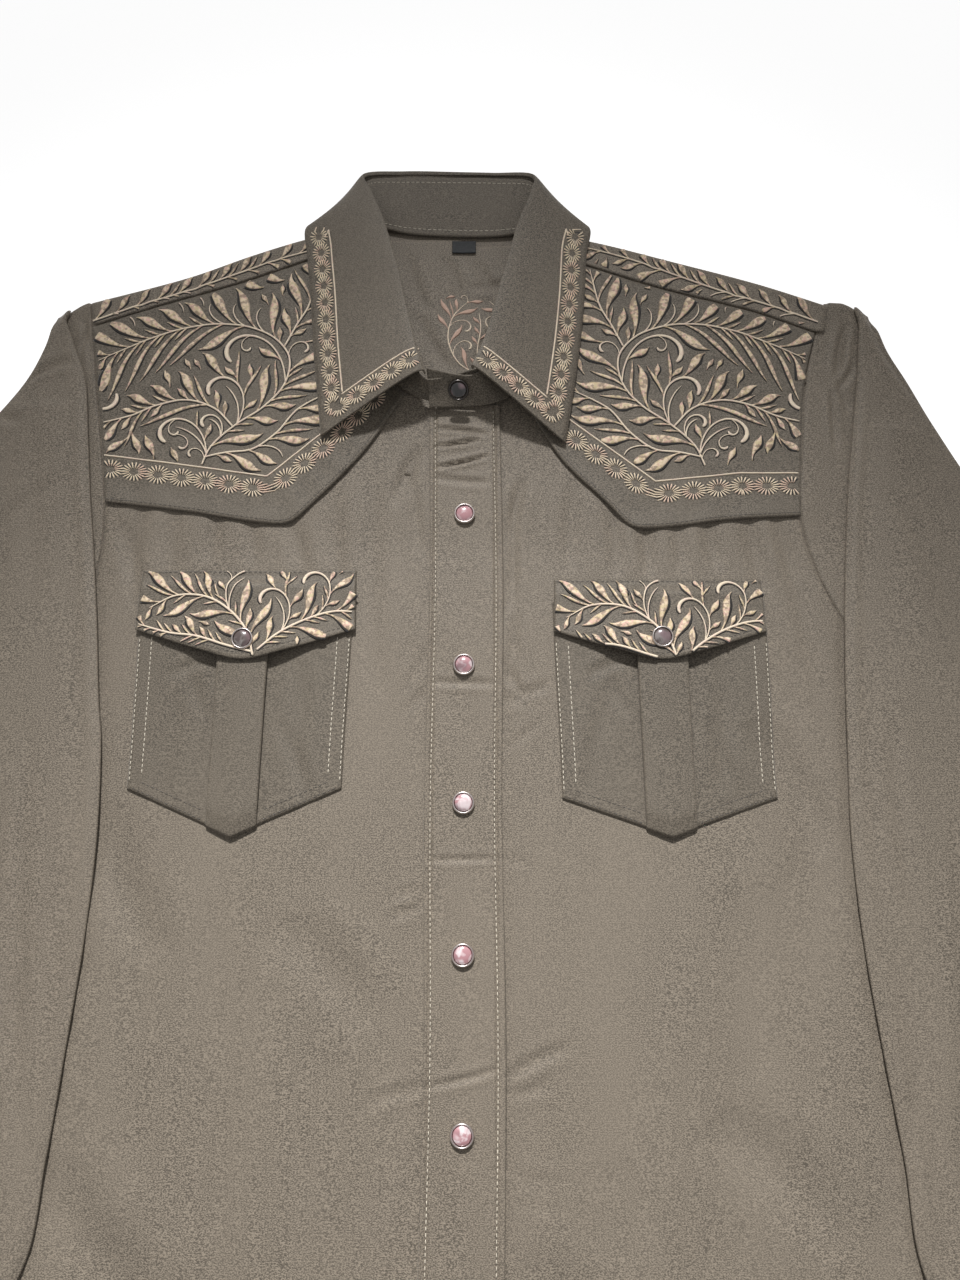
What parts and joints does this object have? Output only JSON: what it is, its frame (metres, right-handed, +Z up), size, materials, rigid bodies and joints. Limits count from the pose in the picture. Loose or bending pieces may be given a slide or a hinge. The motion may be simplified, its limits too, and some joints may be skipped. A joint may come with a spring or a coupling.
{
  "type": "western snap shirt",
  "caption": "Long-sleeved western shirt laid flat on its back, snapped to the neck, with pointed yokes, a turned-down collar and flapped chest pockets.",
  "frame": {"origin": "centre of the shirt's footprint, on the surface that it lies on", "axes": "+Z up out of the surface and out of the front, +Y from the hem to the collar, +X to the wearer's left"},
  "size_m": [0.7679, 0.7925, 0.026],
  "materials": {
    "cloth": "satin-faced twill, dark olive-taupe",
    "label": "woven satin, plain",
    "snap_rim": "polished nickel",
    "snap_pearl": "pearl resin, pink to grey"
  },
  "bodies": {
    "root": {"back": "cloth", "back_yoke": "cloth", "collar_leaf": "cloth", "collar_stand": "cloth", "cuff_left": "cloth", "cuff_right": "cloth", "flap_left": "cloth", "flap_right": "cloth", "front_left": "cloth", "front_right": "cloth", "front_yoke_left": "cloth", "front_yoke_right": "cloth", "placket": "cloth", "pocket_left": "cloth", "pocket_right": "cloth", "size_label": "label", "sleeve_left": "cloth", "sleeve_right": "cloth", "snap_cuff_left_pearl": "snap_pearl", "snap_cuff_left_rim": "snap_rim", "snap_cuff_right_pearl": "snap_pearl", "snap_cuff_right_rim": "snap_rim", "snap_front_1_pearl": "snap_pearl", "snap_front_1_rim": "snap_rim", "snap_front_2_pearl": "snap_pearl", "snap_front_2_rim": "snap_rim", "snap_front_3_pearl": "snap_pearl", "snap_front_3_rim": "snap_rim", "snap_front_4_pearl": "snap_pearl", "snap_front_4_rim": "snap_rim", "snap_front_5_pearl": "snap_pearl", "snap_front_5_rim": "snap_rim", "snap_front_6_pearl": "snap_pearl", "snap_front_6_rim": "snap_rim", "snap_front_7_pearl": "snap_pearl", "snap_front_7_rim": "snap_rim", "snap_neck_pearl": "snap_pearl", "snap_neck_rim": "snap_rim", "snap_pocket_left_pearl": "snap_pearl", "snap_pocket_left_rim": "snap_rim", "snap_pocket_right_pearl": "snap_pearl", "snap_pocket_right_rim": "snap_rim", "yoke_lining": "cloth"}
  },
  "joints": []
}
